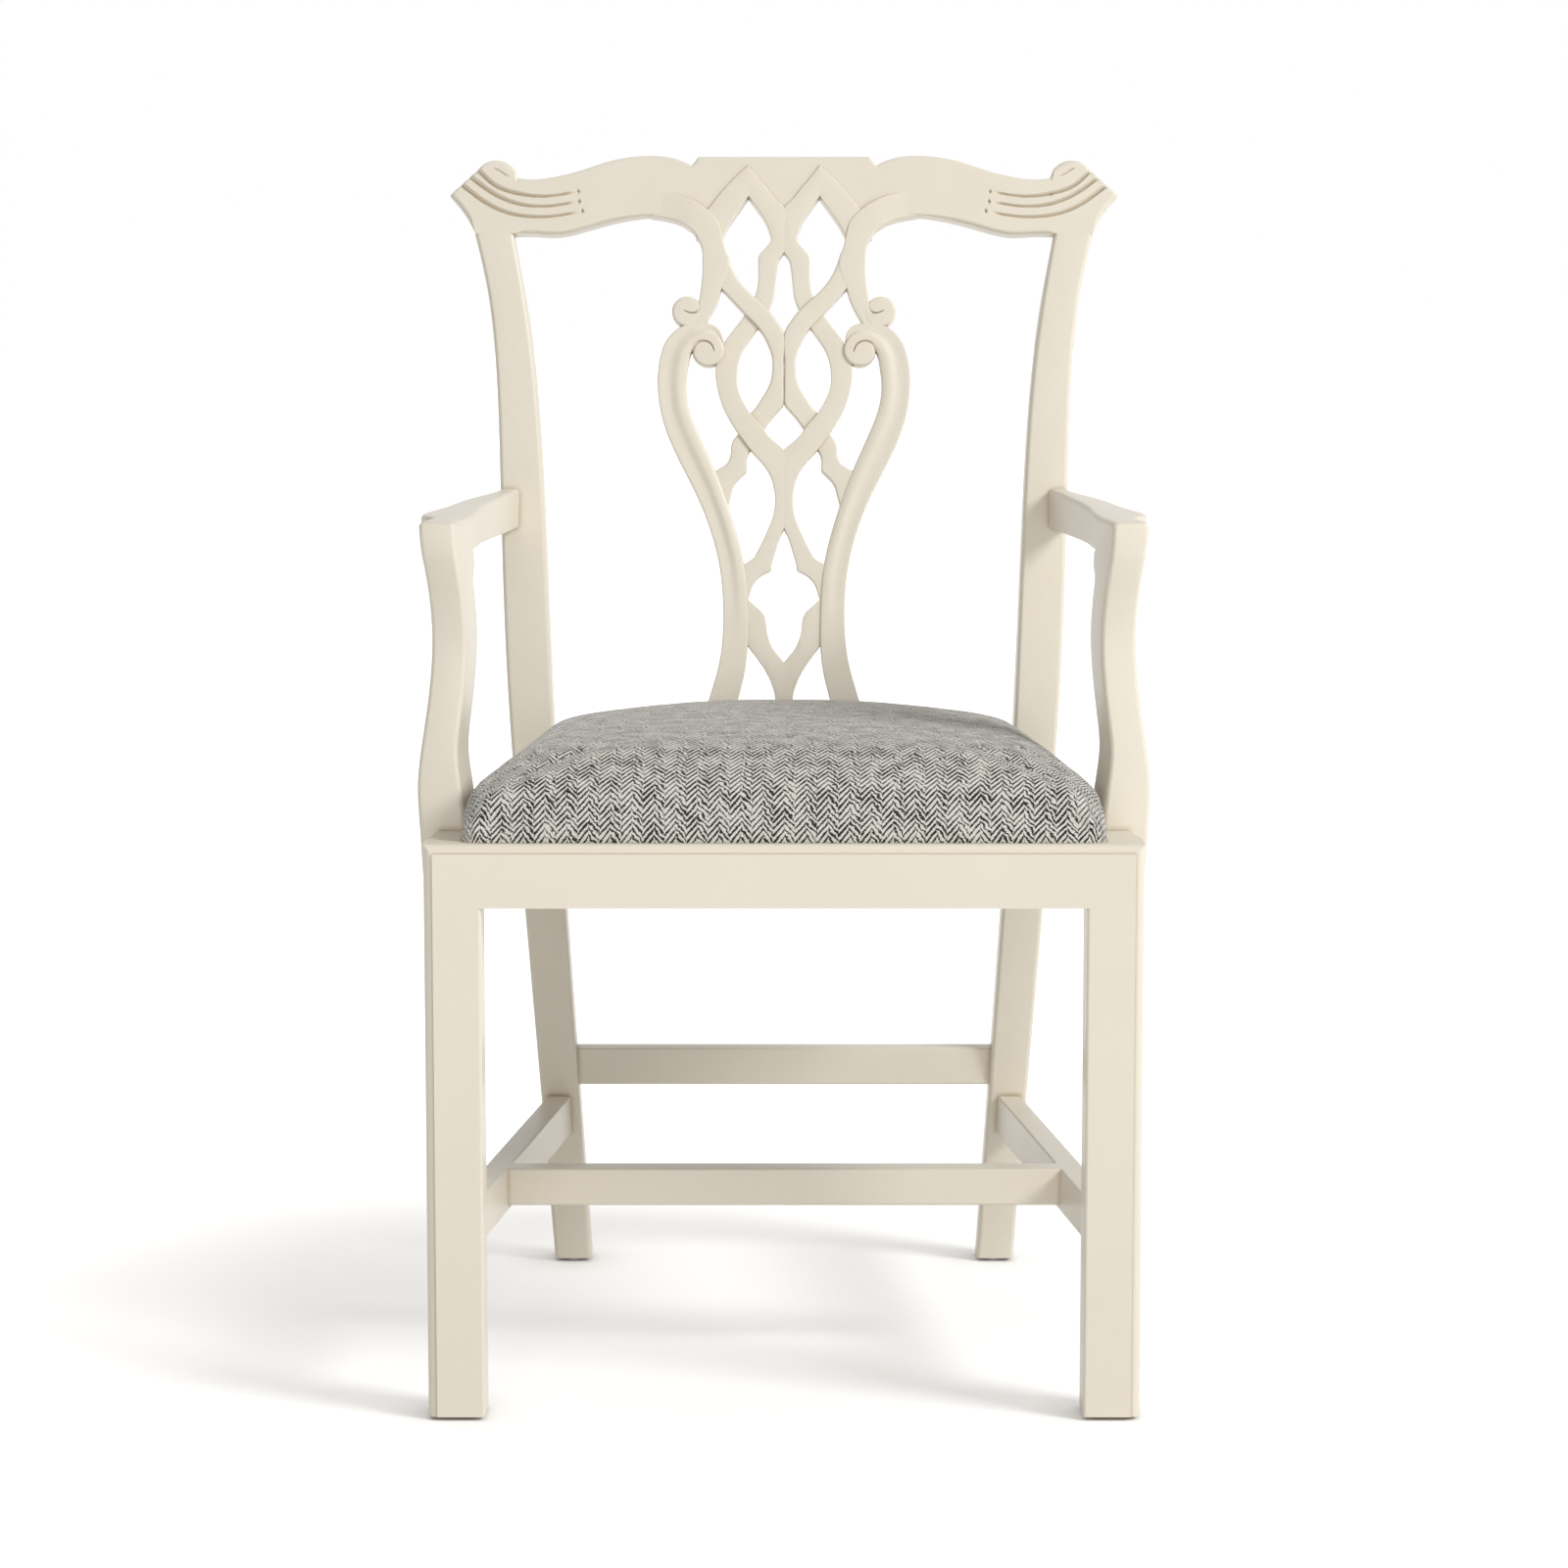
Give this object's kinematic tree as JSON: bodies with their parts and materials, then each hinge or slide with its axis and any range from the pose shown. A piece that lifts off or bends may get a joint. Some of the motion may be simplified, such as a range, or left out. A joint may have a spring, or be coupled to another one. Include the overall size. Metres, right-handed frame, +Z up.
{
  "type": "dining armchair",
  "caption": "Painted wooden armchair with a serpentine eared crest, pierced interlaced splat, scrolled arm supports, straight legs, stretchers and an upholstered drop-in seat that lifts out.",
  "frame": {"origin": "on the floor under the middle of the chair's box", "axes": "+Z up, the chair faces -Y, +X is to the right seen from the front"},
  "size_m": [0.5902, 0.576, 0.9994],
  "materials": {
    "ivory_paint": "semi-gloss ivory paint on beech",
    "bare_beech": "unpainted beech",
    "steel": "zinc-plated steel",
    "jute_webbing": "woven jute webbing",
    "seat_foam": "upholstery foam",
    "herringbone_tweed": "grey herringbone tweed",
    "dust_cloth": "black lining cloth"
  },
  "bodies": {
    "frame": {"rear_post_left": "ivory_paint", "rear_post_right": "ivory_paint", "front_leg_left": "ivory_paint", "front_leg_right": "ivory_paint", "front_rail": "ivory_paint", "rear_rail": "ivory_paint", "side_rail_left": "ivory_paint", "side_rail_right": "ivory_paint", "crest_rail": "ivory_paint", "splat": "ivory_paint", "splat_shoe": "ivory_paint", "arm_left": "ivory_paint", "arm_right": "ivory_paint", "arm_support_left": "ivory_paint", "arm_support_right": "ivory_paint", "side_stretcher_left": "ivory_paint", "side_stretcher_right": "ivory_paint", "medial_stretcher": "ivory_paint", "rear_stretcher": "ivory_paint", "corner_block_front_left": "bare_beech", "corner_block_front_right": "bare_beech", "corner_block_rear_left": "bare_beech", "corner_block_rear_right": "bare_beech", "corner_screws": "steel", "support_screws": "steel", "foot_glide_front_left": "steel", "foot_glide_front_right": "steel", "foot_glide_rear_left": "steel", "foot_glide_rear_right": "steel"},
    "drop_in_seat": {"seat_frame_front": "bare_beech", "seat_frame_rear": "bare_beech", "seat_frame_left": "bare_beech", "seat_frame_right": "bare_beech", "webbing_long_1": "jute_webbing", "webbing_long_2": "jute_webbing", "webbing_long_3": "jute_webbing", "webbing_cross_1": "jute_webbing", "webbing_cross_2": "jute_webbing", "webbing_cross_3": "jute_webbing", "seat_foam": "seat_foam", "seat_cover": "herringbone_tweed", "dust_cover": "dust_cloth"}
  },
  "joints": [
    {"name": "seat_lift", "type": "slide", "parent": "frame", "child": "drop_in_seat", "axis": [0, 0, 1], "range_m": [0, 0.27]}
  ]
}
